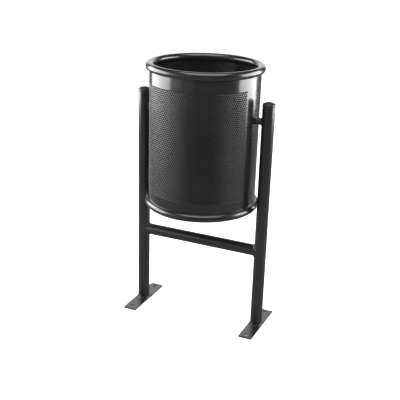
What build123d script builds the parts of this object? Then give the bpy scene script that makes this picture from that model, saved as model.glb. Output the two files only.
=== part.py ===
from build123d import *
import math
import os

os.makedirs("parts", exist_ok=True)

# Outdoor litter bin: a round perforated steel container hung between two tubular posts,
# so that it tips forward to be emptied. Millimetres. X runs through the two pivots,
# the front is towards -Y, +Z is up, and the ground is z = 0.

# Container
BIN_DIAMETER = 350.0  # outside of the sheet
BIN_HEIGHT = 467.0  # over both rims
SHELL_WALL = 1.5
RIM_TUBE = 25.0  # outside diameter of the tube ring at each end
RIM_WALL = 1.5
RIM_SLOT_CLEARANCE = 0.2  # on the inner face of the sheet, which is pushed into the slit ring
FLOOR_THICKNESS = 1.5
FLOOR_FLANGE = 15.0
FLOOR_CORNER = 3.0  # outside radius of the bend between disc and flange
DRAIN_HOLE = 6.0
DRAIN_HOLES = 4
DRAIN_INSET = 20.0  # hole centre from the sheet's outer face
DOUBLER_WIDTH = 90.0
DOUBLER_HEIGHT = 100.0
DOUBLER_THICKNESS = 3.0
DOUBLER_CORNER = 12.0

# Stand
POST_HEIGHT = 767.0  # ground to the top of the cap
POST_DIAMETER = 40.0
TUBE_WALL = 2.0
SHELL_TO_POST = 20.0  # free space between the sheet and each post
CROSSBAR_STEP = 2.0  # how much thinner the crossbar is than the posts
CROSSBAR_DROP = 130.0  # from the underside of the container to the crossbar's centre line
PLATE_LENGTH = 210.0
PLATE_MARGIN = 2.5  # plate beyond the post on each side
PLATE_THICKNESS = 5.0
PLATE_CORNER = 2.0
ANCHOR_HOLE = 11.0
ANCHOR_INSET = 20.0  # hole centre from the plate's end
CAP_SKIRT = 11.0
CAP_DOME = 5.0
CAP_EDGE = 3.0
CAP_GROOVE = 0.8
CAP_PLUG = 15.0
CAP_WALL = 2.0
FOOT_WELD = 2.2
TUBE_WELD = 4.0
BOSS_WELD = 2.5
WELD_BEVEL = 0.6  # share of a saddle weld's leg that its bevel takes off

# Pivot, on each side, about the X axis
PIVOT_BELOW_POST = 64.0  # from the top of the caps
PIVOT_BELOW_RIM = 164.0  # from the top of the container
BOSS_DIAMETER = 22.0
SHOULDER = 12.0
THREAD = 10.0
THREAD_LENGTH = 9.0
THREAD_CLEARANCE = 0.05
BOLT_HEAD = 18.0
BOLT_HEAD_HEIGHT = 8.0
BOLT_HEX = 6.0
BOLT_HEX_DEPTH = 4.0
WASHER_DIAMETER = 24.0
WASHER_THICKNESS = 2.0
WASHER_CLEARANCE = 0.15
BUSH_WALL = 2.0
BUSH_FLANGE = 2.0
BUSH_CLEARANCE = 0.05  # radial, between the shoulder and the bush
HOUSING_LENGTH = 20.0
HOUSING_PROUD = 5.5  # housing outside the sheet
END_FLOAT = 0.5  # axial gap at each end of the bush

# Upright stop and spring catch, on the left post
STOP_ABOVE_BOTTOM = 82.0  # from the underside of the container
STOP_HEIGHT = 30.0
STOP_THICKNESS = 8.0
STOP_REACH = 14.0  # lug from the post towards the sheet
STOP_GAP = 0.3  # between the lug and the tab when the container hangs upright
TAB_THICKNESS = 6.0
TAB_HEIGHT = 15.0
TAB_REACH = 12.0  # from the sheet towards the post
BRACKET_PLATE = 3.5
BRACKET_SEAT = 1.0  # how deep the bracket is coped onto the round post
BRACKET_WIDTH = 14.0  # on the rear side of the pivot plane
BRACKET_TAIL = 25.0  # below the lug
SPRING_THICKNESS = 0.8
SPRING_WIDTH = 8.0
SPRING_GAP = 0.6  # between the crest of the spring and the tab's end
SPRING_FOOT = 18.0
SPRING_BOW = 42.0
SPRING_INSET = 1.0  # from the bracket's rear and lower edges
RIVET_HEAD = 6.0
RIVET_HEAD_HEIGHT = 1.0
RIVET_PITCH = 8.0

# Worked out from the sizes above
SHELL_R = BIN_DIAMETER / 2
SHELL_INNER_R = SHELL_R - SHELL_WALL
RIM_R = RIM_TUBE / 2
RIM_CENTRE_R = SHELL_R - SHELL_WALL / 2
POST_R = POST_DIAMETER / 2
POST_X = SHELL_R + SHELL_TO_POST + POST_R
CROSSBAR_R = (POST_DIAMETER - CROSSBAR_STEP) / 2
PLATE_WIDTH = POST_DIAMETER + 2 * PLATE_MARGIN
PIVOT_Z = POST_HEIGHT - PIVOT_BELOW_POST
BIN_TOP = PIVOT_Z + PIVOT_BELOW_RIM
BIN_BOTTOM = BIN_TOP - BIN_HEIGHT
TOP_RIM_Z = BIN_TOP - RIM_R
BOTTOM_RIM_Z = BIN_BOTTOM + RIM_R
FLOOR_Z = BOTTOM_RIM_Z + RIM_R + FLOOR_FLANGE
CROSSBAR_Z = BIN_BOTTOM - CROSSBAR_DROP
POST_TUBE_TOP = POST_HEIGHT - CAP_SKIRT - CAP_DOME
SHOULDER_R = SHOULDER / 2
BUSH_BORE_R = SHOULDER_R + BUSH_CLEARANCE
BUSH_R = SHOULDER_R + BUSH_WALL
BOSS_R = BOSS_DIAMETER / 2
HOUSING_OUT_X = SHELL_R + HOUSING_PROUD
HOUSING_IN_X = HOUSING_OUT_X - HOUSING_LENGTH
BOSS_X = HOUSING_OUT_X + BUSH_FLANGE + END_FLOAT
WASHER_X = HOUSING_IN_X - END_FLOAT
BOLT_HEAD_X = WASHER_X - WASHER_THICKNESS
STOP_Z = BIN_BOTTOM + STOP_ABOVE_BOTTOM
POST_FACE_X = POST_X - POST_R
TAB_END_X = SHELL_R + TAB_REACH
SPRING_X = POST_FACE_X + BRACKET_SEAT - BRACKET_PLATE
SPRING_Y = BRACKET_WIDTH - SPRING_WIDTH / 2 - SPRING_INSET
SPRING_Z = STOP_Z - STOP_HEIGHT / 2 - BRACKET_TAIL + SPRING_INSET

# The two sides: name and sign of X
SIDES = (("left", -1), ("right", 1))


def block(x0, x1, y0, y1, z0, z1):
    """A box between two corners."""
    size = (x1 - x0, y1 - y0, z1 - z0)
    return Pos((x0 + x1) / 2, (y0 + y1) / 2, (z0 + z1) / 2) * Box(*size)


def upright(radius, z0, z1, x=0.0):
    """A vertical cylinder from z0 to z1, centred at x."""
    return Pos(x, 0, (z0 + z1) / 2) * Cylinder(radius, z1 - z0)


def along_x(radius, x0, x1, z):
    """A cylinder along X from x0 to x1, centred at y = 0 and height z."""
    return Pos((x0 + x1) / 2, 0, z) * Rot(0, 90, 0) * Cylinder(radius, x1 - x0)


def to_side(shape, sign):
    """A piece drawn on the +X side, mirrored to the -X side if sign is negative."""
    return shape if sign > 0 else mirror(shape, about=Plane.YZ)


def turned(points):
    """The solid that a closed outline of (radius, z) points makes when it is turned about Z."""
    outline = make_face(Polyline(*[(r, 0, z) for r, z in points], close=True))
    return revolve(outline, axis=Axis.Z)


# Container


def bin_shell():
    """The rolled sheet, with a hole at each side for the pivot housing."""
    wall = upright(SHELL_R, BOTTOM_RIM_Z, TOP_RIM_Z)
    wall -= upright(SHELL_INNER_R, BOTTOM_RIM_Z, TOP_RIM_Z)
    return wall - along_x(BOSS_R, -POST_X, POST_X, PIVOT_Z)


def rim(centre_z, towards_sheet):
    """A ring of round tube, slit all round to take the edge of the sheet."""
    ring = Pos(0, 0, centre_z) * (Torus(RIM_CENTRE_R, RIM_R) - Torus(RIM_CENTRE_R, RIM_R - RIM_WALL))
    far = centre_z + towards_sheet * 2 * RIM_R
    low, high = min(centre_z, far), max(centre_z, far)
    slit = upright(SHELL_R, low, high)
    slit -= upright(SHELL_INNER_R - RIM_SLOT_CLEARANCE, low, high)
    return ring - slit


def bin_floor():
    """A pressed disc whose flange, turned down against the sheet, stands on the rim; holes let rain out."""
    pan = upright(SHELL_INNER_R, FLOOR_Z - FLOOR_FLANGE, FLOOR_Z)
    pan = fillet(pan.edges().group_by(Axis.Z)[-1], FLOOR_CORNER)
    inside = upright(
        SHELL_INNER_R - FLOOR_THICKNESS, FLOOR_Z - 2 * FLOOR_FLANGE, FLOOR_Z - FLOOR_THICKNESS
    )
    inside = fillet(inside.edges().group_by(Axis.Z)[-1], FLOOR_CORNER - FLOOR_THICKNESS)
    drain = upright(DRAIN_HOLE / 2, FLOOR_Z - FLOOR_FLANGE, FLOOR_Z + FLOOR_THICKNESS)
    pan -= inside
    return pan - PolarLocations(SHELL_R - DRAIN_INSET, DRAIN_HOLES) * drain


def doubler(sign):
    """A curved plate inside the sheet that stiffens it round the pivot."""
    outline = Plane.YZ * RectangleRounded(DOUBLER_WIDTH, DOUBLER_HEIGHT, DOUBLER_CORNER)
    column = Pos(0, 0, PIVOT_Z) * extrude(outline, amount=SHELL_R)
    low, high = PIVOT_Z - DOUBLER_HEIGHT, PIVOT_Z + DOUBLER_HEIGHT
    skin = upright(SHELL_INNER_R, low, high)
    skin -= upright(SHELL_INNER_R - DOUBLER_THICKNESS, low, high)
    plate = (skin & column) - along_x(BOSS_R, 0, POST_X, PIVOT_Z)
    return to_side(plate, sign)


def pivot_housing(sign):
    """The tube welded through the sheet and the doubler, which carries the bush."""
    tube = along_x(BOSS_R, HOUSING_IN_X, HOUSING_OUT_X, PIVOT_Z)
    tube -= along_x(BUSH_R, HOUSING_IN_X, HOUSING_OUT_X, PIVOT_Z)
    return to_side(tube, sign)


def pivot_bush(sign):
    """A flanged plain bush pressed into the housing from outside."""
    flange_x = HOUSING_OUT_X + BUSH_FLANGE
    bush = along_x(BUSH_R, HOUSING_IN_X, flange_x, PIVOT_Z)
    bush += along_x(BOSS_R, HOUSING_OUT_X, flange_x, PIVOT_Z)
    bush -= along_x(BUSH_BORE_R, HOUSING_IN_X, flange_x, PIVOT_Z)
    return to_side(bush, sign)


def catch_tab():
    """The tab on the left of the sheet that meets the stop when the container is upright."""
    half = TAB_THICKNESS / 2
    low, high = STOP_Z - TAB_HEIGHT / 2, STOP_Z + TAB_HEIGHT / 2
    tab = block(-TAB_END_X, -SHELL_INNER_R, -half, half, low, high)
    return tab - upright(SHELL_R, low, high)


# Stand


def base_plate(sign):
    """A flat bar under each post, with an anchor hole near each end."""
    plate = extrude(
        Pos(sign * POST_X, 0) * RectangleRounded(PLATE_WIDTH, PLATE_LENGTH, PLATE_CORNER),
        amount=PLATE_THICKNESS,
    )
    hole = upright(ANCHOR_HOLE / 2, 0, PLATE_THICKNESS, sign * POST_X)
    for end in (-1, 1):
        plate -= Pos(0, end * (PLATE_LENGTH / 2 - ANCHOR_INSET), 0) * hole
    return plate


def post(sign):
    """A round tube that stands on the plate and is open at the top."""
    x = sign * POST_X
    tube = upright(POST_R, PLATE_THICKNESS, POST_TUBE_TOP, x)
    return tube - upright(POST_R - TUBE_WALL, PLATE_THICKNESS, POST_TUBE_TOP, x)


def post_cap(sign):
    """A plug with a domed head as wide as the post, and a shadow groove under the head."""
    plug_r = POST_R - TUBE_WALL
    head_z = CAP_SKIRT
    top_z = CAP_SKIRT + CAP_DOME
    flat_r = POST_R - CAP_EDGE
    lift = CAP_EDGE * (1 - math.sqrt(0.5))
    side = Line((POST_R, 0, CAP_GROOVE), (POST_R, 0, head_z - CAP_EDGE))
    edge = ThreePointArc(
        (POST_R, 0, head_z - CAP_EDGE), (POST_R - lift, 0, head_z - lift), (flat_r, 0, head_z)
    )
    dome_r = (flat_r**2 + CAP_DOME**2) / (2 * CAP_DOME)
    middle_r = flat_r / 2
    middle_z = top_z - dome_r + math.sqrt(dome_r**2 - middle_r**2)
    dome = ThreePointArc((flat_r, 0, head_z), (middle_r, 0, middle_z), (0, 0, top_z))
    body = Polyline(
        (0, 0, top_z),
        (0, 0, head_z - CAP_WALL),
        (plug_r - CAP_WALL, 0, head_z - CAP_WALL),
        (plug_r - CAP_WALL, 0, -CAP_PLUG),
        (plug_r, 0, -CAP_PLUG),
        (plug_r, 0, 0),
        (POST_R - CAP_GROOVE, 0, 0),
        (POST_R - CAP_GROOVE, 0, CAP_GROOVE),
        (POST_R, 0, CAP_GROOVE),
    )
    cap = revolve(make_face([side, edge, dome, body]), axis=Axis.Z)
    return Pos(sign * POST_X, 0, POST_TUBE_TOP) * cap


def crossbar():
    """The tube between the posts, its ends coped to their round faces."""
    bar = along_x(CROSSBAR_R, -POST_X, POST_X, CROSSBAR_Z)
    bar -= along_x(CROSSBAR_R - TUBE_WALL, -POST_X, POST_X, CROSSBAR_Z)
    for _, sign in SIDES:
        bar -= upright(POST_R, 0, POST_HEIGHT, sign * POST_X)
    return bar


def foot_weld(sign):
    """The fillet of weld round the foot of a post."""
    top = PLATE_THICKNESS + FOOT_WELD
    outline = ((POST_R, PLATE_THICKNESS), (POST_R + FOOT_WELD, PLATE_THICKNESS), (POST_R, top))
    return Pos(sign * POST_X, 0, 0) * turned(outline)


def saddle_weld(sign, bar_r, leg, z):
    """The bead where a tube or a boss along X meets the round post, its outer edge bevelled."""
    inner_x = POST_X - POST_R - leg
    bead = along_x(bar_r + leg, inner_x, POST_X, z)
    bead &= upright(POST_R + leg, z - 2 * bar_r, z + 2 * bar_r, POST_X)
    bead -= along_x(bar_r, 0, POST_X, z)
    bead -= upright(POST_R, z - 2 * bar_r, z + 2 * bar_r, POST_X)
    outer = bead.edges().filter_by(lambda e: is_outer_edge(e, bar_r + leg, POST_R + leg, z))
    return to_side(chamfer(outer, leg * WELD_BEVEL), sign)


def is_outer_edge(edge, bar_r, post_r, z):
    """True if an edge lies on both outer cylinders of a saddle weld."""
    for share in (0.15, 0.4, 0.6, 0.85):
        p = edge.position_at(share)
        on_bar = abs(math.hypot(p.Y, p.Z - z) - bar_r) < 1e-3
        on_post = abs(math.hypot(p.X - POST_X, p.Y) - post_r) < 1e-3
        if not (on_bar and on_post):
            return False
    return True


def pivot_boss(sign):
    """A round boss on the inner face of the post, tapped for the pivot bolt."""
    boss = along_x(BOSS_R, BOSS_X, POST_X, PIVOT_Z)
    boss -= upright(POST_R, 0, POST_HEIGHT, POST_X)
    depth = BOSS_X + THREAD_LENGTH + THREAD_CLEARANCE
    boss -= along_x(THREAD / 2 + THREAD_CLEARANCE, BOSS_X, depth, PIVOT_Z)
    return to_side(boss, sign)


def pivot_bolt(sign):
    """A shoulder bolt put in from inside the container and screwed into the boss."""
    bolt = along_x(SHOULDER_R, BOLT_HEAD_X, BOSS_X, PIVOT_Z)
    bolt += along_x(THREAD / 2, BOSS_X, BOSS_X + THREAD_LENGTH, PIVOT_Z)
    bolt += along_x(BOLT_HEAD / 2, BOLT_HEAD_X - BOLT_HEAD_HEIGHT, BOLT_HEAD_X, PIVOT_Z)
    socket = Plane.YZ * RegularPolygon(BOLT_HEX / 2, 6, major_radius=False)
    socket = extrude(socket, amount=BOLT_HEX_DEPTH)
    bolt -= Pos(BOLT_HEAD_X - BOLT_HEAD_HEIGHT, 0, PIVOT_Z) * socket
    return to_side(bolt, sign)


def pivot_washer(sign):
    """The washer under the bolt's head."""
    washer = along_x(WASHER_DIAMETER / 2, BOLT_HEAD_X, WASHER_X, PIVOT_Z)
    washer -= along_x(SHOULDER_R + WASHER_CLEARANCE, BOLT_HEAD_X, WASHER_X, PIVOT_Z)
    return to_side(washer, sign)


def stop_bracket():
    """A plate welded to the left post, with the lug in front of the tab."""
    back_x = POST_FACE_X + BRACKET_SEAT
    face_x = back_x - BRACKET_PLATE
    front_y = -(TAB_THICKNESS / 2 + STOP_GAP)
    low, high = STOP_Z - STOP_HEIGHT / 2, STOP_Z + STOP_HEIGHT / 2
    plate = block(face_x, back_x, front_y - STOP_THICKNESS, BRACKET_WIDTH, low - BRACKET_TAIL, high)
    lug = block(
        POST_FACE_X - STOP_REACH, back_x, front_y - STOP_THICKNESS, front_y, low, high
    )
    bracket = plate + lug
    bracket -= upright(POST_R, 0, POST_HEIGHT, POST_X)
    return to_side(bracket, -1)


def catch_spring():
    """A bowed spring strip riveted to the bracket, whose crest holds the tab against the lug."""
    face_x = SPRING_X - SPRING_THICKNESS
    crest_x = TAB_END_X + SPRING_GAP
    bow_z = SPRING_Z + SPRING_FOOT
    tip_z = bow_z + SPRING_BOW
    foot = Line((SPRING_X, 0, SPRING_Z), (SPRING_X, 0, bow_z))
    bow = ThreePointArc((SPRING_X, 0, bow_z), (crest_x + SPRING_THICKNESS, 0, STOP_Z), (SPRING_X, 0, tip_z))
    back = Line((face_x, 0, SPRING_Z), (face_x, 0, bow_z))
    front = ThreePointArc((face_x, 0, bow_z), (crest_x, 0, STOP_Z), (face_x, 0, tip_z))
    ends = [Line(foot @ 0, back @ 0), Line(bow @ 1, front @ 1)]
    strip = extrude(make_face([foot, bow, back, front] + ends), amount=SPRING_WIDTH / 2, both=True)
    return to_side(Pos(0, SPRING_Y, 0) * strip, -1)


def spring_rivets():
    """The two rivet heads that hold the spring's foot."""
    face_x = SPRING_X - SPRING_THICKNESS
    first = SPRING_Z + (SPRING_FOOT - RIVET_PITCH) / 2
    heads = []
    for z in (first, first + RIVET_PITCH):
        head = along_x(RIVET_HEAD / 2, face_x - RIVET_HEAD_HEIGHT, face_x, z)
        heads.append(to_side(Pos(0, SPRING_Y, 0) * head, -1))
    return Compound(children=heads)


def write(node, shape):
    """One STEP file for one piece."""
    shape.label = node
    export_step(shape, f"parts/{node}.step")


write("bin_shell", bin_shell())
write("top_rim", rim(TOP_RIM_Z, -1))
write("bottom_rim", rim(BOTTOM_RIM_Z, 1))
write("bin_floor", bin_floor())
write("catch_tab", catch_tab())
write("crossbar", crossbar())
write("stop_bracket", stop_bracket())
write("catch_spring", catch_spring())
write("catch_spring_rivets", spring_rivets())
for side, sign in SIDES:
    write(f"{side}_doubler", doubler(sign))
    write(f"{side}_pivot_housing", pivot_housing(sign))
    write(f"{side}_pivot_bush", pivot_bush(sign))
    write(f"{side}_pivot_boss", pivot_boss(sign))
    write(f"{side}_boss_weld", saddle_weld(sign, BOSS_R, BOSS_WELD, PIVOT_Z))
    write(f"{side}_pivot_bolt", pivot_bolt(sign))
    write(f"{side}_pivot_washer", pivot_washer(sign))
    write(f"{side}_base_plate", base_plate(sign))
    write(f"{side}_post", post(sign))
    write(f"{side}_post_cap", post_cap(sign))
    write(f"{side}_foot_weld", foot_weld(sign))
    write(f"{side}_crossbar_weld", saddle_weld(sign, CROSSBAR_R, TUBE_WELD, CROSSBAR_Z))
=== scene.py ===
import math

import bmesh
import bpy
from mathutils import Matrix, Vector


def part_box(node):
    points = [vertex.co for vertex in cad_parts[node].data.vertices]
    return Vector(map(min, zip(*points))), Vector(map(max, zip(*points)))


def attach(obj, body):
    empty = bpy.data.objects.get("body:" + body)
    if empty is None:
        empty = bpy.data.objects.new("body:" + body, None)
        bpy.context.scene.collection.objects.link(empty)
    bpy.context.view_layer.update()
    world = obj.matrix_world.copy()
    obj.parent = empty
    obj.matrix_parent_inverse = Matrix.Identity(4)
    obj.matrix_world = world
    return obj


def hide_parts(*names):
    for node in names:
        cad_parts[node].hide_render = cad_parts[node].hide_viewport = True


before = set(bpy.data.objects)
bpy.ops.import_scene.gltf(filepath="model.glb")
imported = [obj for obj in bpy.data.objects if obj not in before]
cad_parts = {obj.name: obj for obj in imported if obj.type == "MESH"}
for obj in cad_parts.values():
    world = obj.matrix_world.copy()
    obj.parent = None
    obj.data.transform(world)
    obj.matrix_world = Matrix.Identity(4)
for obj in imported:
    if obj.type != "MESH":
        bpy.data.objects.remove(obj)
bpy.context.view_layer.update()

# Litter bin between two posts. Metres, +Z up, the front is towards -Y, X runs through the pivots.

# Perforated sheet
SHEET_WALL = 0.0015
HOLE_RADIUS = 0.0025
HOLE_LIP = 0.0003  # how far the punched edge is drawn in
HOLE_PITCH = 0.0072
ROW_STEP = 0.00606
HOLES_ACROSS = 60  # in a full row; the rows between have one less
HOLE_ROWS = 57
FIELD_BOTTOM = 0.0465  # from the sheet's lower edge to the first row's lower side
STRIP_STEP = 0.004  # width of a plain face along the sheet's curve
BAND_STEPS = 3
STRIP_ROWS = (6, 3)  # plain rows beside the field, below and above the cell round a pivot
CELL_COLUMNS = 4  # from the middle to the side of the cell round a pivot
CELL_HALF_ROWS = 5
PUNCHED_SHARP = 100.0  # degrees, so that the punched edges are shaded round
HOLE_SIDES = 12
# Round a punched hole: the cell's corners in half pitches and half rows, and for each the point
# of the twelve-sided hole that it is joined to
CELL = ((1, 0, 0), (1, 1, 1), (0, 1, 3), (-1, 1, 5), (-1, 0, 6), (-1, -1, 7), (0, -1, 9), (1, -1, 11))
# The sheet's flat map: the outer face fills the upper half, the inner face the lower half
MAP_MARGIN = 0.01
MAP_LAYER = 0.5  # from the inner face to the outer face
WALL_SHARE = (0.95, 0.6)  # of the hole on the map, at the wall's outer and inner edge
EDGE_MARGIN = 0.004  # metres that the sheet's top and bottom edges reach beyond it on the map

# Rings and tubes
RING_TUBE_RADIUS = 0.0125
TUBE_WALL = 0.002
ROUND_STEPS = 96
SMALL_ROUND_STEPS = 48  # round a ring's tube and the rivets
RING_STEPS = 180
RING_SEAM = 0.0035  # half the width of the weld that closes a ring
RING_SEAM_HEIGHT = 0.0005
RING_SEAM_PLACES = (-1.0, -0.7, -0.45, -0.2, 0.2, 0.45, 0.7, 1.0)
EDGE = 0.0005  # small radius on turned, sawn and cut edges
EDGE_STEPS = 3
CAP_GROOVE = 0.0008
CAP_EDGE = 0.003
CAP_DOME = 0.005
CAP_SKIRT = 0.011
CAP_WALL = 0.002
DOME_STEPS = 12
CAP_EDGE_STEPS = 8
RIVET_STEPS = 6
SPRING_EDGE = 0.0001
SHARP = 35.0  # degrees; edges sharper than this stay sharp in the shading
BEVEL_ANGLE = 40.0  # degrees; edges of cut pieces sharper than this are rounded off
BEVEL_STEPS = 3
FLAT_ANGLE = 1.0  # degrees; faces nearer to one plane than this are joined
SIDE_PER_CUT = 2.2  # a rounded corner takes at most this part of the sides beside it
SAME_POINT = 1e-6

# Welds
RIPPLE = 0.0021
RIPPLE_LAG = 0.0007  # how far each ripple is bowed along the weld
BEAD_STEPS = 7
BEAD_PITCH = 0.00045
BEAD_CROWN = 0.25  # share of the leg
BEAD_SHARP = 60.0
BEAD_SWELL = 0.12  # how much the crown varies along the weld
BEAD_SWELLS = 3
RIPPLE_DEPTH = 0.45  # share of the crown
TUBE_LEG = 0.004
BOSS_LEG = 0.0025
FOOT_LEG = 0.0022
HOUSING_LEG = 0.002

# Pivot
BUSH_RADIUS = 0.008
BORE_RADIUS = 0.00605
SHOULDER_RADIUS = 0.006
THREAD_RADIUS = 0.005
THREAD_BORE = 0.00505
THREAD_LENGTH = 0.009
HEAD_RADIUS = 0.009
HEAD_HEIGHT = 0.008
HEAD_CHAMFER = 0.0008
SOCKET_HALF = 0.003  # half the width across the hexagon's flats
SOCKET_DEPTH = 0.004
SOCKET_CHAMFER = 0.0003

# Finishes: base colours and roughness as (lowest, highest)
PAINT_COLOURS = ((0.0065, 0.0065, 0.0063), (0.009, 0.009, 0.0087))
PAINT_ROUGHNESS = (0.2, 0.28)
PAINT_COAT = 0.35
COAT_ROUGHNESS = 0.12
# Patterns in the finishes, with their scale in cycles per metre; each range is the part of the
# pattern between the lowest and the highest value
MOTTLE = {"scale": 9.0, "detail": 4.0}
MOTTLE_RANGE = (0.3, 0.7)
SMUDGE = {"scale": 38.0, "detail": 5.0, "roughness": 0.6}
SMUDGE_RANGE = (0.25, 0.75)
PEEL = {"scale": 260.0, "detail": 1.0}
GRAIN = {"scale": 2200.0, "detail": 2.0}

# Camera
CAMERA_PLACE = (0.950, -2.153, 1.2815)
CAMERA_YAW = 23.89  # degrees to the left of +Y
CAMERA_PITCH = 20.06  # degrees below the horizon
CAMERA_ROLL = 1.77
CAMERA_LENS = 68.2
CAMERA_SENSOR = 36
CAMERA_SHIFT = (-0.0016, -0.0087)
CAMERA_REACH = 100

# Studio. The paint mirrors a darker one than the camera sees, and than the one that lights it.
WORLD_SEEN, WORLD_MIRRORED = 1.25, 0.03
FLOOR_SEEN, FLOOR_MIRRORED = 0.85, 0.1
FLOOR_SIZE = 30.0
LAMP_AIM = 0.9  # height that the lamps face
SOFTBOXES = (  # name, bearing in degrees, distance, height, width, tall, watts
    ("softbox_right", 96.7, 1.6, 1.01, 1.62, 1.3, 58),
    ("softbox_left", -102.1, 1.6, 1.01, 1.9, 1.3, 62),
    ("spill_near", -58.5, 1.9, 1.01, 0.84, 1.3, 3.2),
    ("spill_far", -34.0, 1.9, 1.01, 0.81, 1.3, 1.0),
    ("softbox_back", 180.0, 3.0, 1.6, 3.0, 1.6, 20),
    ("softbox_top", 0.0, 0.7, 3.1, 2.6, 2.6, 75),
)

SIDES = (("left", -1), ("right", 1))


def radius_of(node):
    """Half the larger width of a round upright node."""
    low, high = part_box(node)
    return max(high[0] - low[0], high[1] - low[1]) / 2


def middle_of(node):
    low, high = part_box(node)
    return (Vector(low) + Vector(high)) / 2


def span(node, axis):
    """The node's lowest and highest value along an axis (0, 1 or 2)."""
    low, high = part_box(node)
    return low[axis], high[axis]


def radius_of_x(node):
    """Half the height of a node that is round about the X axis."""
    low, high = span(node, 2)
    return (high - low) / 2


POST_X = middle_of("right_post").x
POST_RADIUS = radius_of("right_post")
PIVOT_Z = middle_of("right_pivot_housing").z
SHEET_RADIUS = radius_of("bin_shell")
PIVOT_RADIUS = radius_of_x("right_pivot_housing")
BAR_RADIUS = radius_of_x("crossbar")
BAR_Z = middle_of("crossbar").z
# Centre along X and radius of the upright round faces that tubes are welded to
POST_HUB = (POST_X, POST_RADIUS)
SHEET_HUB = (0.0, SHEET_RADIUS)


def finish_piece(name, points, faces, material, body, slot, *nodes, sharp=SHARP, maps=None):
    """Makes a closed object of points and faces, smooth except at sharp edges, on its body."""
    mesh = bpy.data.meshes.new(name)
    mesh.from_pydata([tuple(p) for p in points], [], faces)
    if maps:
        layer = mesh.uv_layers.new(name="OFBake")
        layer.data.foreach_set("uv", [value for pair in maps for value in pair])
    solid = bmesh.new()
    solid.from_mesh(mesh)
    if not maps:
        bmesh.ops.remove_doubles(solid, verts=solid.verts, dist=SAME_POINT)
    bmesh.ops.recalc_face_normals(solid, faces=solid.faces)
    solid.to_mesh(mesh)
    solid.free()
    return placed(name, mesh, material, body, slot, *nodes, sharp=sharp)


def placed(name, mesh, material, body, slot, *nodes, sharp=SHARP):
    """Puts a mesh in the scene with its material and body, in place of its CAD nodes. The slot is not
    used.
    """
    mesh.shade_smooth()
    mesh.set_sharp_from_angle(angle=math.radians(sharp))
    mesh.materials.append(material)
    piece = bpy.data.objects.new(name, mesh)
    bpy.context.scene.collection.objects.link(piece)
    piece.modifiers.new("even_normals", "WEIGHTED_NORMAL").keep_sharp = True
    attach(piece, body)
    if nodes:
        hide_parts(*nodes)
    return piece


# Materials


def node_of(tree, kind, **settings):
    node = tree.nodes.new(kind)
    for key, value in settings.items():
        setattr(node, key, value)
    return node


def noise(tree, scale, detail, roughness=0.5):
    """A noise pattern in the object's own coordinates, scale in cycles per metre."""
    place = node_of(tree, "ShaderNodeTexCoord")
    pattern = node_of(tree, "ShaderNodeTexNoise")
    pattern.inputs["Scale"].default_value = scale
    pattern.inputs["Detail"].default_value = detail
    pattern.inputs["Roughness"].default_value = roughness
    tree.links.new(place.outputs["Object"], pattern.inputs["Vector"])
    return pattern.outputs["Fac"]


def ramp(tree, source, stops):
    """A colour or grey ramp from two pairs of (position, value)."""
    node = node_of(tree, "ShaderNodeValToRGB")
    for element, (position, value) in zip(node.color_ramp.elements, stops):
        element.position = position
        element.color = (*value, 1.0) if isinstance(value, tuple) else (value, value, value, 1.0)
    tree.links.new(source, node.inputs["Fac"])
    return node.outputs["Color"]


def bump(tree, height, distance, under=None):
    node = node_of(tree, "ShaderNodeBump")
    node.inputs["Strength"].default_value = 1.0
    node.inputs["Distance"].default_value = distance
    tree.links.new(height, node.inputs["Height"])
    if under is not None:
        tree.links.new(under, node.inputs["Normal"])
    return node.outputs["Normal"]


def surface(name, colours, roughness, metallic=0.0, coat=0.0, peel=0.0, grain=0.0):
    """A principled surface: mottled colour and uneven roughness, each from its lowest to its
    highest value, and a soft waviness and a fine grain, by their depth in metres."""
    material = bpy.data.materials.new(name)
    material.use_nodes = True
    tree = material.node_tree
    shader = tree.nodes["Principled BSDF"]
    shader.inputs["Metallic"].default_value = metallic
    shader.inputs["Coat Weight"].default_value = coat
    shader.inputs["Coat Roughness"].default_value = COAT_ROUGHNESS
    mottled = ramp(tree, noise(tree, **MOTTLE), zip(MOTTLE_RANGE, colours))
    tree.links.new(mottled, shader.inputs["Base Color"])
    smudged = ramp(tree, noise(tree, **SMUDGE), zip(SMUDGE_RANGE, roughness))
    tree.links.new(smudged, shader.inputs["Roughness"])
    normal = None
    if peel:
        normal = bump(tree, noise(tree, **PEEL), peel)
    if grain:
        normal = bump(tree, noise(tree, **GRAIN), grain, normal)
    if normal is not None:
        tree.links.new(normal, shader.inputs["Normal"])
    return material


PAINT = surface(
    "graphite_paint", PAINT_COLOURS, PAINT_ROUGHNESS, coat=PAINT_COAT, peel=0.00002, grain=0.000003,
)
SHEET_PAINT = surface(
    "graphite_sheet_paint", PAINT_COLOURS, PAINT_ROUGHNESS,
    coat=PAINT_COAT, peel=0.000015, grain=0.000003,
)
CAP_PLASTIC = surface(
    "cap_plastic", ((0.010, 0.010, 0.010), (0.0135, 0.0135, 0.0132)), (0.24, 0.33),
    peel=0.00001, grain=0.000004,
)
BLACKENED = surface(
    "blackened_zinc", ((0.05, 0.05, 0.051), (0.085, 0.085, 0.087)), (0.5, 0.65),
    metallic=1.0, grain=0.000004,
)
BLUED = surface(
    "blued_spring", ((0.12, 0.125, 0.135), (0.2, 0.2, 0.21)), (0.25, 0.4),
    metallic=1.0, grain=0.000003,
)
NYLON = surface(
    "nylon", ((0.028, 0.028, 0.028), (0.036, 0.036, 0.035)), (0.45, 0.6), grain=0.000005,
)


# Perforated sheet


def spaced(start, end, count):
    """The ends and count - 1 even steps between them."""
    return [start + (end - start) * k / count for k in range(count + 1)]


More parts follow.
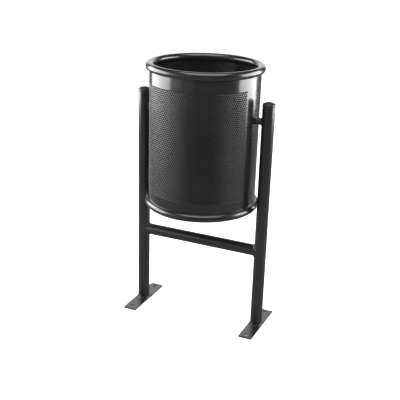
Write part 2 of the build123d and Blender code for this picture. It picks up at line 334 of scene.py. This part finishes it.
class Sheet:
    """The rolled sheet, gathered as points and faces. Its flat map has the outer face in the
    upper half, the inner face in the lower half, and the walls of the holes inside the holes."""

    def __init__(self, start):
        self.start = start
        self.bottom, self.top = span("bin_shell", 2)
        self.points = []
        self.faces = []
        self.maps = []
        self.known = {}

    def point(self, angle, z, layer, drop):
        """The index of a point on the outer (0) or inner (1) face, made once."""
        place = (math.cos(angle), math.sin(angle), z)
        key = (*(round(value / SAME_POINT) for value in place), layer)
        if key not in self.known:
            radius = SHEET_RADIUS - drop if layer == 0 else SHEET_RADIUS - SHEET_WALL + drop
            self.known[key] = len(self.points)
            self.points.append((radius * math.cos(angle), radius * math.sin(angle), z))
        return self.known[key]

    def spot(self, angle, z, layer):
        """Where a point lies on the flat map."""
        across = (angle - self.start) / (2 * math.pi)
        up = (z - self.bottom) / (self.top - self.bottom)
        low = MAP_MARGIN + MAP_LAYER * (1 - layer)
        width, height = 1 - 2 * MAP_MARGIN, MAP_LAYER - 2 * MAP_MARGIN
        return MAP_MARGIN + width * across, low + height * up

    def face(self, corners, layer):
        """One face on a layer, from corners (angle, z, drop)."""
        self.faces.append([self.point(angle, z, layer, drop) for angle, z, drop in corners])
        self.maps += [self.spot(angle, z, layer) for angle, z, _ in corners]

    def wall(self, centre, rim):
        """The wall of a hole, whose edge on both layers is the ring of points rim."""
        for k, (angle, z, drop) in enumerate(rim):
            after = rim[(k + 1) % len(rim)]
            corners = [(angle, z, drop, 0), (*after, 0), (*after, 1), (angle, z, drop, 1)]
            self.faces.append([self.point(a, h, layer, d) for a, h, d, layer in corners])
            for a, h, _, layer in corners:
                share = WALL_SHARE[layer]
                inner = (centre[0] + (a - centre[0]) * share, centre[1] + (h - centre[1]) * share)
                self.maps.append(self.spot(*inner, 0))


def flat(*corners):
    """Corners (angle, z) of a face with no drop."""
    return [(angle, z, 0.0) for angle, z in corners]


def add_plain(sheet, left, right, lefts, rights):
    """A plain face on both layers between two angles; lefts and rights are its heights there."""
    corners = [(left, z) for z in reversed(lefts)] + [(right, z) for z in rights]
    for layer in (0, 1):
        sheet.face(flat(*corners), layer)


def add_hole(sheet, angle, z, half_pitch, half_row):
    """One cell of the field: the face round a hole on both layers, and the hole's wall."""
    rim = []
    for k in range(HOLE_SIDES):
        turn = 2 * math.pi * k / HOLE_SIDES
        across = HOLE_RADIUS * math.cos(turn) / SHEET_RADIUS
        rim.append((angle + across, z + HOLE_RADIUS * math.sin(turn), HOLE_LIP))
    for layer in (0, 1):
        for k, (across, up, first) in enumerate(CELL):
            next_across, next_up, last = CELL[(k + 1) % len(CELL)]
            last = last if last > first else HOLE_SIDES
            near = [rim[n % HOLE_SIDES] for n in range(first, last + 1)]
            far = flat(
                (angle + next_across * half_pitch, z + next_up * half_row),
                (angle + across * half_pitch, z + up * half_row),
            )
            sheet.face(near + far, layer)
    sheet.wall((angle, z), rim)


def add_pivot_hole(sheet, columns, rows, radius):
    """The cell of plain sheet round the hole that the pivot housing fills."""
    edge = [(a, rows[0]) for a in columns] + [(columns[-1], z) for z in rows[1:]]
    edge += [(a, rows[-1]) for a in columns[-2::-1]] + [(columns[0], z) for z in rows[-2:0:-1]]
    centre = (round(columns[0] / math.pi + 0.5) * math.pi, PIVOT_Z)
    rim = []
    for angle, z in edge:
        turn = math.atan2(z - PIVOT_Z, (angle - centre[0]) * SHEET_RADIUS)
        across = radius * math.cos(turn) / SHEET_RADIUS
        rim.append((centre[0] + across, PIVOT_Z + radius * math.sin(turn), 0.0))
    for layer in (0, 1):
        for k, corner in enumerate(edge):
            after = (k + 1) % len(edge)
            sheet.face([rim[k], rim[after]] + flat(edge[after], corner), layer)
    sheet.wall(centre, rim)


def perforated_sheet():
    """The sheet with its perforated front, plain bands and sides, and the pivots' holes."""
    half_pitch = HOLE_PITCH / 2 / SHEET_RADIUS
    half_row = ROW_STEP / 2
    field_angle = 2 * HOLES_ACROSS * half_pitch
    start = -math.pi / 2 - field_angle / 2
    sheet = Sheet(start)
    end, around = start + field_angle, start + 2 * math.pi
    low_z = sheet.bottom + FIELD_BOTTOM
    rows = [low_z + half_row * k for k in range(2 * HOLE_ROWS + 1)]
    for row in range(HOLE_ROWS):
        short = row % 2
        low, z, high = rows[2 * row : 2 * row + 3]
        for hole in range(HOLES_ACROSS - short):
            add_hole(sheet, start + (2 * hole + 1 + short) * half_pitch, z, half_pitch, half_row)
        if short:
            for left in (start, end - half_pitch):
                add_plain(sheet, left, left + half_pitch, (low, z), (low, z))
                add_plain(sheet, left, left + half_pitch, (z, high), (z, high))
    columns = spaced(end, around, round((around - end) * SHEET_RADIUS / STRIP_STEP))
    count = len(columns) - 1
    pivot_row = round((PIVOT_Z - low_z) / half_row)
    cell_rows = (pivot_row - CELL_HALF_ROWS, pivot_row + CELL_HALF_ROWS)
    pivot_columns = [round((angle - end) / (around - end) * count) for angle in (0.0, math.pi)]
    marks = [round(k) for k in spaced(0, cell_rows[0], STRIP_ROWS[0])]
    marks += [round(k) for k in spaced(cell_rows[1], 2 * HOLE_ROWS, STRIP_ROWS[1])]
    for column in range(count):
        for low, high in zip(marks, marks[1:]):
            ends = (rows[low], rows[high])
            every = rows[low : high + 1]
            lefts = every if column == 0 else ends
            rights = every if column == count - 1 else ends
            if low == cell_rows[0]:
                places = [column - middle for middle in pivot_columns]
                if any(-CELL_COLUMNS <= place < CELL_COLUMNS for place in places):
                    continue
                lefts = every if CELL_COLUMNS in places else lefts
                rights = every if -CELL_COLUMNS - 1 in places else rights
            add_plain(sheet, columns[column], columns[column + 1], lefts, rights)
    for middle in pivot_columns:
        around_pivot = columns[middle - CELL_COLUMNS : middle + CELL_COLUMNS + 1]
        inside = rows[cell_rows[0] : cell_rows[1] + 1]
        add_pivot_hole(sheet, around_pivot, inside, PIVOT_RADIUS)
    every_column = spaced(start, end, 2 * HOLES_ACROSS) + columns[1:]
    pairs = list(zip(every_column, every_column[1:]))
    for band in (spaced(sheet.bottom, low_z, BAND_STEPS), spaced(rows[-1], sheet.top, BAND_STEPS)):
        for left, right in pairs:
            for low, high in zip(band, band[1:]):
                add_plain(sheet, left, right, (low, high), (low, high))
    for z, margin in ((sheet.bottom, -EDGE_MARGIN), (sheet.top, EDGE_MARGIN)):
        for left, right in pairs:
            corners = [(left, 0), (right, 0), (right, 1), (left, 1)]
            sheet.faces.append([sheet.point(angle, z, layer, 0.0) for angle, layer in corners])
            sheet.maps += [sheet.spot(angle, z + margin * layer, 0) for angle, layer in corners]
    return finish_piece(
        "perforated_sheet", sheet.points, sheet.faces, SHEET_PAINT, "container", "graphite_sheet",
        "bin_shell", sharp=PUNCHED_SHARP, maps=sheet.maps,
    )


# Turned, bent and welded pieces


def skin(rings, closed):
    """Points and faces of a surface through rings of equal count; closed joins last to first."""
    count = len(rings[0])
    points = [point for ring in rings for point in ring]
    faces = []
    for k in range(len(rings) if closed else len(rings) - 1):
        here, there = k * count, (k + 1) % len(rings) * count
        for n in range(count):
            m = (n + 1) % count
            faces.append((here + n, here + m, there + m, there + n))
    return points, faces


def eased(outline, size=EDGE):
    """A closed outline of (radius, height) with its corners rounded, apart from those on the axis."""
    result = []
    for k, (radius, height) in enumerate(outline):
        here = Vector((radius, height))
        if radius < size:
            result.append((radius, height))
            continue
        before = Vector(outline[k - 1]) - here
        after = Vector(outline[(k + 1) % len(outline)]) - here
        cut = min(size, before.length / SIDE_PER_CUT, after.length / SIDE_PER_CUT)
        first, last = here + before.normalized() * cut, here + after.normalized() * cut
        for t in spaced(0.0, 1.0, EDGE_STEPS):
            result.append(tuple(first * (1 - t) ** 2 + here * 2 * t * (1 - t) + last * t**2))
    return result


def upright_ring(x, radius, z):
    """A level ring of points about a post's centre line."""
    turns = [2 * math.pi * k / ROUND_STEPS for k in range(ROUND_STEPS)]
    return [(x + radius * math.cos(t), radius * math.sin(t), z) for t in turns]


def pivot_ring(side, radius, x):
    """A ring of points about the pivot axis; radius is a number or depends on the turn."""
    ring = []
    for k in range(ROUND_STEPS):
        turn = 2 * math.pi * k / ROUND_STEPS
        r = radius(turn) if callable(radius) else radius
        ring.append((side * x, side * r * math.cos(turn), PIVOT_Z + r * math.sin(turn)))
    return ring


def tube_ring(node, name, middle_z):
    """A ring of round tube, closed by a ground weld at the rear."""
    major = radius_of(node) - RING_TUBE_RADIUS
    turns = spaced(0.0, 2 * math.pi, RING_STEPS)[:-1]
    seam = RING_SEAM / major
    turns += [math.pi / 2 + seam * k for k in RING_SEAM_PLACES]
    rings = []
    for turn in sorted(turns):
        near = abs(turn - math.pi / 2) / seam
        swell = RING_SEAM_HEIGHT * (1 - near**2) if near < 1 else 0.0
        ring = []
        for k in range(SMALL_ROUND_STEPS):
            across = 2 * math.pi * k / SMALL_ROUND_STEPS
            tube = RING_TUBE_RADIUS + swell
            reach = major + tube * math.cos(across)
            z = middle_z + tube * math.sin(across)
            ring.append((reach * math.cos(turn), reach * math.sin(turn), z))
        rings.append(ring)
    points, faces = skin(rings, True)
    return finish_piece(name, points, faces, PAINT, "container", "graphite_coating", node)


def post_tube(side, sign):
    """An open tube with its sawn ends dressed."""
    low, high = span(f"{side}_post", 2)
    inner = POST_RADIUS - TUBE_WALL
    outline = [(POST_RADIUS, low), (POST_RADIUS, high), (inner, high), (inner, low)]
    points, faces = skin([upright_ring(sign * POST_X, r, z) for r, z in eased(outline)], True)
    finish_piece(f"{side}_post_tube", points, faces, PAINT, "stand", "graphite_coating", f"{side}_post")


def domed_cap(side, sign):
    """A moulded plug with a domed head, and a shadow groove where it meets the tube."""
    low, top = span(f"{side}_post_cap", 2)
    base = top - CAP_SKIRT - CAP_DOME
    flat_radius = POST_RADIUS - CAP_EDGE
    plug = POST_RADIUS - TUBE_WALL
    ball = (flat_radius**2 + CAP_DOME**2) / (2 * CAP_DOME)
    outline = [(0.0, top)]
    for share in spaced(0.0, 1.0, DOME_STEPS)[1:]:
        radius = flat_radius * share
        outline.append((radius, top - ball + math.sqrt(ball**2 - radius**2)))
    for turn in spaced(math.pi / 2, 0.0, CAP_EDGE_STEPS)[1:]:
        radius = flat_radius + CAP_EDGE * math.cos(turn)
        outline.append((radius, base + CAP_SKIRT - CAP_EDGE + CAP_EDGE * math.sin(turn)))
    outline += eased(
        [
            (POST_RADIUS, base + CAP_GROOVE),
            (POST_RADIUS - CAP_GROOVE, base + CAP_GROOVE),
            (POST_RADIUS - CAP_GROOVE, base),
            (plug, base),
            (plug, low),
            (plug - CAP_WALL, low),
            (plug - CAP_WALL, base + CAP_SKIRT - CAP_WALL),
        ],
        EDGE / 2,
    )
    outline.append((0.0, base + CAP_SKIRT - CAP_WALL))
    points, faces = skin([upright_ring(sign * POST_X, r, z) for r, z in outline], False)
    finish_piece(f"{side}_cap", points, faces, CAP_PLASTIC, "stand", "cap_plastic", f"{side}_post_cap")


def coped_bar():
    """The tube between the posts, cut to their round faces at its ends."""
    rings = []
    for radius, signs in ((BAR_RADIUS, (-1, 1)), (BAR_RADIUS - TUBE_WALL, (1, -1))):
        for sign in signs:
            ring = []
            for k in range(ROUND_STEPS):
                turn = 2 * math.pi * k / ROUND_STEPS
                y = radius * math.sin(turn)
                x = sign * (POST_X - math.sqrt(POST_RADIUS**2 - y**2))
                ring.append((x, y, BAR_Z + radius * math.cos(turn)))
            rings.append(ring)
    points, faces = skin(rings, True)
    finish_piece("coped_bar", points, faces, PAINT, "stand", "graphite_coating", "crossbar")


def bead(name, roots, first_toes, last_toes, crown, body, *nodes):
    """A closed weld: between its two toes the face is crowned and carries bowed ripples."""
    count = len(roots)
    length = sum((roots[k] - roots[k - 1]).length for k in range(count))
    ripple = length / round(length / RIPPLE)
    travelled = 0.0
    rings = []
    for k in range(count):
        first, last, root = first_toes[k], last_toes[k], roots[k]
        outward = ((first + last) / 2 - root).normalized()
        swell = 1 + BEAD_SWELL * math.sin(2 * BEAD_SWELLS * math.pi * k / count)
        ring = []
        for t in spaced(0.0, 1.0, BEAD_STEPS):
            arch = 4 * t * (1 - t)
            wave = abs(math.sin(math.pi * (travelled + RIPPLE_LAG * arch) / ripple))
            depth = 1 - RIPPLE_DEPTH + RIPPLE_DEPTH * wave
            ring.append(first.lerp(last, t) + outward * crown * swell * arch * depth)
        ring.append(root)
        rings.append(ring)
        travelled += (roots[(k + 1) % count] - root).length
    points, faces = skin(rings, True)
    finish_piece(name, points, faces, PAINT, body, "graphite_coating", *nodes, sharp=BEAD_SHARP)


def saddle_bead(name, sign, hub, facing, bar_radius, z, leg, body, *nodes):
    """The weld where a tube along X meets an upright round face. The hub is the centre and radius
    of that face, facing is +1 where the face looks away from the middle, -1 where it looks in."""
    centre, radius = hub
    count = round(2 * math.pi * bar_radius / BEAD_PITCH)
    roots, bar_toes, hub_toes = [], [], []
    for k in range(count):
        turn = 2 * math.pi * k / count
        y, up = bar_radius * math.sin(turn), bar_radius * math.cos(turn)
        round_hub = math.asin(y / radius)
        x = centre + facing * radius * math.cos(round_hub)
        roots.append(Vector((sign * x, sign * y, z + up)))
        bar_toes.append(Vector((sign * (x + facing * leg), sign * y, z + up)))
        further = round_hub + leg * math.sin(turn) / radius
        toe = (centre + facing * radius * math.cos(further), radius * math.sin(further))
        hub_toes.append(Vector((sign * toe[0], sign * toe[1], z + up + leg * math.cos(turn))))
    bead(name, roots, bar_toes, hub_toes, leg * BEAD_CROWN, body, *nodes)


def foot_bead(side, sign):
    """The weld round the foot of a post."""
    low = span(f"{side}_foot_weld", 2)[0]
    count = round(2 * math.pi * POST_RADIUS / BEAD_PITCH)
    roots, post_toes, plate_toes = [], [], []
    for k in range(count):
        turn = 2 * math.pi * k / count
        way = Vector((math.cos(turn), math.sin(turn), 0))
        root = Vector((sign * POST_X, 0, low)) + way * POST_RADIUS
        roots.append(root)
        post_toes.append(root + Vector((0, 0, FOOT_LEG)))
        plate_toes.append(root + way * FOOT_LEG)
    bead(
        f"{side}_foot_bead", roots, post_toes, plate_toes, FOOT_LEG * BEAD_CROWN, "stand",
        f"{side}_foot_weld",
    )


def hexagon(half_width):
    """The radius of a hexagon at a turn."""
    third = math.pi / 3
    return lambda turn: half_width / math.cos((turn + third / 2) % third - third / 2)


def turned(name, side, sign, outline, material, body, slot, closed=True):
    """A piece turned about the pivot axis, from an outline of (radius, x)."""
    points, faces = skin([pivot_ring(sign, r, x) for r, x in outline], closed)
    finish_piece(f"{side}_{name}", points, faces, material, body, slot, f"{side}_pivot_{name}")


def tube_outline(inner, outer, start, end):
    """The outline of a plain turned tube."""
    return [(inner, start), (outer, start), (outer, end), (inner, end)]


def pivot_parts(side, sign):
    """The boss, bolt, washer, bush and housing of one pivot."""
    housing_in, housing_out = span("right_pivot_housing", 0)
    flange_out = span("right_pivot_bush", 0)[1]
    washer_in, washer_out = span("right_pivot_washer", 0)
    bolt_in, bolt_out = span("right_pivot_bolt", 0)
    boss_in = span("right_pivot_boss", 0)[0]
    washer_radius = radius_of_x("right_pivot_washer")
    boss_end = POST_X - POST_RADIUS + TUBE_WALL
    boss = tube_outline(THREAD_BORE, PIVOT_RADIUS, boss_in, boss_end)
    turned("boss", side, sign, eased(boss), PAINT, "stand", "graphite_coating")
    washer = tube_outline(BORE_RADIUS, washer_radius, washer_in, washer_out)
    turned("washer", side, sign, eased(washer, EDGE / 2), BLACKENED, "stand", "blackened_steel")
    bush = [
        (BORE_RADIUS, housing_in),
        (BUSH_RADIUS, housing_in),
        (BUSH_RADIUS, housing_out),
        (PIVOT_RADIUS, housing_out),
        (PIVOT_RADIUS, flange_out),
        (BORE_RADIUS, flange_out),
    ]
    turned("bush", side, sign, eased(bush, EDGE / 2), NYLON, "container", "bush_plastic")
    housing = tube_outline(BUSH_RADIUS, PIVOT_RADIUS, housing_in, housing_out)
    turned("housing", side, sign, eased(housing), PAINT, "container", "graphite_coating")
    head_out = bolt_in + HEAD_HEIGHT
    thread_in = bolt_out - THREAD_LENGTH
    bolt = [
        (0.0, bolt_in + SOCKET_DEPTH + SOCKET_CHAMFER),
        (hexagon(SOCKET_HALF), bolt_in + SOCKET_DEPTH),
        (hexagon(SOCKET_HALF), bolt_in + SOCKET_CHAMFER),
        (hexagon(SOCKET_HALF + SOCKET_CHAMFER), bolt_in),
        (HEAD_RADIUS - HEAD_CHAMFER, bolt_in),
        (HEAD_RADIUS, bolt_in + HEAD_CHAMFER),
        (HEAD_RADIUS, head_out - SOCKET_CHAMFER),
        (HEAD_RADIUS - SOCKET_CHAMFER, head_out),
        (SHOULDER_RADIUS, head_out),
        (SHOULDER_RADIUS, thread_in),
        (THREAD_RADIUS, thread_in),
        (THREAD_RADIUS, bolt_out),
        (0.0, bolt_out),
    ]
    turned("bolt", side, sign, bolt, BLACKENED, "stand", "blackened_steel", closed=False)


def rivet_heads():
    """Two low domed heads on the foot of the spring."""
    low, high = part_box("catch_spring_rivets")
    depth = high[0] - low[0]
    y = (low[1] + high[1]) / 2
    radius = (high[1] - low[1]) / 2
    turns = [2 * math.pi * k / SMALL_ROUND_STEPS for k in range(SMALL_ROUND_STEPS)]
    bends = spaced(0.0, math.pi / 2, RIVET_STEPS)
    dome = [(radius * math.sin(t), low[0] + depth * math.cos(t)) for t in bends]
    points, faces = [], []
    for z in (low[2] + radius, high[2] - radius):
        rings = []
        for reach, x in dome + [(0.0, low[0])]:
            rings.append([(x, y + reach * math.cos(t), z + reach * math.sin(t)) for t in turns])
        more_points, more_faces = skin(rings, False)
        faces += [tuple(n + len(points) for n in face) for face in more_faces]
        points += more_points
    finish_piece(
        "rivet_heads", points, faces, BLACKENED, "stand", "blackened_steel", "catch_spring_rivets"
    )


def dressed(node, name, material, body, slot, easing=EDGE):
    """A cut or pressed piece with its sharp edges rounded off."""
    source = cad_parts[node]
    solid = bmesh.new()
    solid.from_mesh(source.data)
    bmesh.ops.transform(solid, matrix=source.matrix_world, verts=solid.verts)
    bmesh.ops.remove_doubles(solid, verts=solid.verts, dist=SAME_POINT)
    joined = math.radians(FLAT_ANGLE)
    bmesh.ops.dissolve_limit(solid, angle_limit=joined, verts=solid.verts, edges=solid.edges)
    limit = math.radians(BEVEL_ANGLE)
    corners = [e for e in solid.edges if e.is_manifold and e.calc_face_angle() > limit]
    bmesh.ops.bevel(
        solid, geom=corners, offset=easing, offset_type="OFFSET", segments=BEVEL_STEPS,
        profile=0.5, affect="EDGES", clamp_overlap=True,
    )
    bmesh.ops.recalc_face_normals(solid, faces=solid.faces)
    mesh = bpy.data.meshes.new(name)
    solid.to_mesh(mesh)
    solid.free()
    placed(name, mesh, material, body, slot, node)


# Camera and studio


def camera():
    """The camera, a little above the container, to the right of its front."""
    data = bpy.data.cameras.new("camera")
    data.lens = CAMERA_LENS
    data.sensor_width = CAMERA_SENSOR
    data.shift_x, data.shift_y = CAMERA_SHIFT
    data.clip_end = CAMERA_REACH
    eye = bpy.data.objects.new("camera", data)
    bpy.context.scene.collection.objects.link(eye)
    turn = Matrix.Rotation(math.radians(CAMERA_YAW), 4, "Z")
    tilt = Matrix.Rotation(math.radians(90 - CAMERA_PITCH), 4, "X")
    roll = Matrix.Rotation(math.radians(CAMERA_ROLL), 4, "Z")
    eye.matrix_world = Matrix.Translation(CAMERA_PLACE) @ turn @ tilt @ roll
    bpy.context.scene.camera = eye


def softbox(name, bearing, distance, height, width, tall, power):
    """A rectangular lamp that faces the container; its bearing is measured from the camera's."""
    angle = math.radians(CAMERA_YAW - 90 + bearing)
    place = Vector((distance * math.cos(angle), distance * math.sin(angle), height))
    data = bpy.data.lights.new(name, "AREA")
    data.shape = "RECTANGLE"
    data.size, data.size_y = width, tall
    data.energy = power
    lamp = bpy.data.objects.new(name, data)
    bpy.context.scene.collection.objects.link(lamp)
    lamp.location = place
    lamp.rotation_euler = (Vector((0, 0, LAMP_AIM)) - place).to_track_quat("-Z", "Y").to_euler()
    lamp.visible_camera = False


def glossy_switch(tree, seen, mirrored):
    """Two colours of the studio: one as seen and as light, one as it shows in glossy paint."""
    path = node_of(tree, "ShaderNodeLightPath")
    mix = node_of(tree, "ShaderNodeMix", data_type="RGBA")
    mix.inputs["A"].default_value = (seen, seen, seen, 1)
    mix.inputs["B"].default_value = (mirrored, mirrored, mirrored, 1)
    tree.links.new(path.outputs["Is Glossy Ray"], mix.inputs["Factor"])
    return mix.outputs["Result"]


def studio():
    """The white surroundings, the floor and the lamps."""
    world = bpy.data.worlds.new("studio")
    world.use_nodes = True
    tree = world.node_tree
    backdrop = tree.nodes["Background"]
    tree.links.new(glossy_switch(tree, WORLD_SEEN, WORLD_MIRRORED), backdrop.inputs["Color"])
    bpy.context.scene.world = world
    material = bpy.data.materials.new("floor")
    material.use_nodes = True
    tree = material.node_tree
    shader = tree.nodes["Principled BSDF"]
    shader.inputs["Roughness"].default_value = 1.0
    shader.inputs["Specular IOR Level"].default_value = 0.0
    tree.links.new(glossy_switch(tree, FLOOR_SEEN, FLOOR_MIRRORED), shader.inputs["Base Color"])
    mesh = bpy.data.meshes.new("floor")
    corners = [(-1, -1), (1, -1), (1, 1), (-1, 1)]
    mesh.from_pydata([(x * FLOOR_SIZE, y * FLOOR_SIZE, 0) for x, y in corners], [], [(0, 1, 2, 3)])
    mesh.materials.append(material)
    floor = bpy.data.objects.new("floor", mesh)
    bpy.context.scene.collection.objects.link(floor)
    for lamp in SOFTBOXES:
        softbox(*lamp)
    bpy.context.scene.view_settings.view_transform = "Standard"


perforated_sheet()
tube_ring("top_rim", "top_ring", span("top_rim", 2)[1] - RING_TUBE_RADIUS)
tube_ring("bottom_rim", "bottom_ring", span("bottom_rim", 2)[0] + RING_TUBE_RADIUS)
dressed("bin_floor", "floor_pan", PAINT, "container", "graphite_coating", EDGE / 2)
dressed("catch_tab", "stop_tab", PAINT, "container", "graphite_coating")
dressed("stop_bracket", "stop_plate", PAINT, "stand", "graphite_coating")
dressed("catch_spring", "spring_strip", BLUED, "stand", "spring_steel", SPRING_EDGE)
rivet_heads()
coped_bar()
for side, sign in SIDES:
    post_tube(side, sign)
    domed_cap(side, sign)
    foot_bead(side, sign)
    dressed(f"{side}_base_plate", f"{side}_plate", PAINT, "stand", "graphite_coating")
    dressed(f"{side}_doubler", f"{side}_stiffener", PAINT, "container", "graphite_coating")
    saddle_bead(
        f"{side}_bar_bead", sign, POST_HUB, -1, BAR_RADIUS, BAR_Z, TUBE_LEG, "stand",
        f"{side}_crossbar_weld",
    )
    saddle_bead(
        f"{side}_boss_bead", sign, POST_HUB, -1, PIVOT_RADIUS, PIVOT_Z, BOSS_LEG, "stand",
        f"{side}_boss_weld",
    )
    saddle_bead(
        f"{side}_housing_bead", sign, SHEET_HUB, 1, PIVOT_RADIUS, PIVOT_Z, HOUSING_LEG, "container",
    )
    pivot_parts(side, sign)
camera()
studio()
